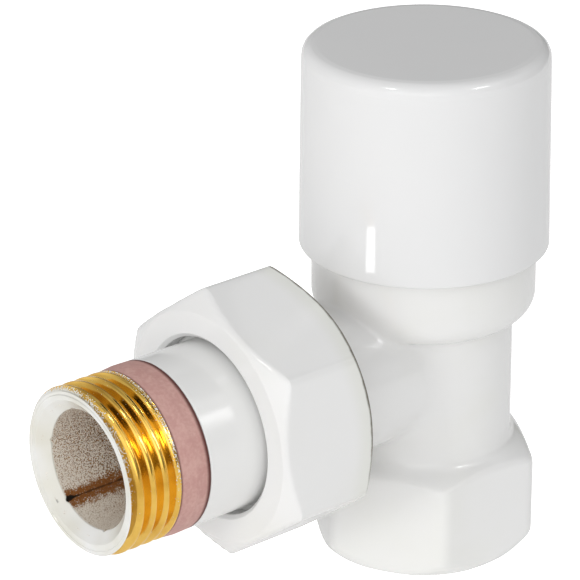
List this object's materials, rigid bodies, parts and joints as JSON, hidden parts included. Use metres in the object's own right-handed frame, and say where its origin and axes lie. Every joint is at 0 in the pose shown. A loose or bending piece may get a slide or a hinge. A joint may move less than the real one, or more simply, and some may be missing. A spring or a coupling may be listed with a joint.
{
  "type": "lockshield valve",
  "caption": "Angle radiator lockshield valve with hexagon inlet, union tailpiece, regulating spindle and pull-off white shield cap.",
  "frame": {"origin": "centre of the inlet's mouth, on the valve's bottom face", "axes": "+Z along the spindle's axis towards the cap, -Y along the outlet towards the tailpiece's tip, +X to the right when looking along +Y"},
  "size_m": [0.0318, 0.0689, 0.0662],
  "materials": {
    "white_paint": "gloss white enamel on a brass casting",
    "nickel_plate": "satin nickel plate on turned brass",
    "turned_brass": "turned brass",
    "tail_brass": "polished brass thread with white enamel on the barrel and the end face",
    "black_rubber": "smooth rubber",
    "white_ptfe": "waxy white",
    "spring_steel": "bright",
    "rose_seal": "matt dusty rose",
    "liner_plastic": "moulded, satin",
    "cap_plastic": "moulded, gloss"
  },
  "bodies": {
    "body": {"valve_body": "white_paint", "bonnet": "nickel_plate", "bonnet_o_ring": "black_rubber", "gland_washer": "turned_brass", "gland_o_ring": "black_rubber", "gland_nut": "turned_brass", "cap_grip_ring": "black_rubber"},
    "plug": {"plug": "turned_brass", "plug_snap_ring": "spring_steel", "seat_washer": "black_rubber", "washer_screw": "spring_steel"},
    "spindle": {"spindle": "turned_brass", "spindle_o_ring": "black_rubber", "thrust_washer": "white_ptfe"},
    "union_seal": {"union_o_ring": "black_rubber"},
    "tail": {"tailpiece": "tail_brass", "tail_seal_ring": "rose_seal"},
    "nut": {"union_nut": "white_paint"},
    "liner": {"cap_liner": "liner_plastic"},
    "cap": {"lockshield_cap": "cap_plastic"}
  },
  "joints": [
    {"name": "plug_lift", "type": "slide", "parent": "body", "child": "plug", "axis": [0, 0, 1], "range_m": [0, 0.0035]},
    {"name": "spindle_turn", "type": "hinge", "parent": "plug", "child": "spindle", "pos_m": [0, 0, 0.035], "axis": [0, 0, 1], "range_deg": [0, 1260]},
    {"name": "union_draw", "type": "slide", "parent": "body", "child": "union_seal", "axis": [0, -1, 0], "range_m": [0, 0.00816]},
    {"name": "nut_turn", "type": "hinge", "parent": "union_seal", "child": "nut", "pos_m": [0, -0.03, 0.0255], "axis": [0, -1, 0], "range_deg": [0, 1620]},
    {"name": "tail_swivel", "type": "hinge", "parent": "union_seal", "child": "tail", "pos_m": [0, -0.042, 0.0255], "axis": [0, -1, 0], "continuous": true},
    {"name": "cap_pull", "type": "slide", "parent": "body", "child": "liner", "axis": [0, 0, 1], "range_m": [0, 0.03]},
    {"name": "cap_spin", "type": "hinge", "parent": "liner", "child": "cap", "pos_m": [0, 0, 0.052], "axis": [0, 0, 1], "continuous": true}
  ],
  "couplings": [
    {"joint": "spindle_turn", "follows": "plug_lift", "rad_per_m": 6283.2},
    {"joint": "nut_turn", "follows": "union_draw", "rad_per_m": 3463.7}
  ]
}
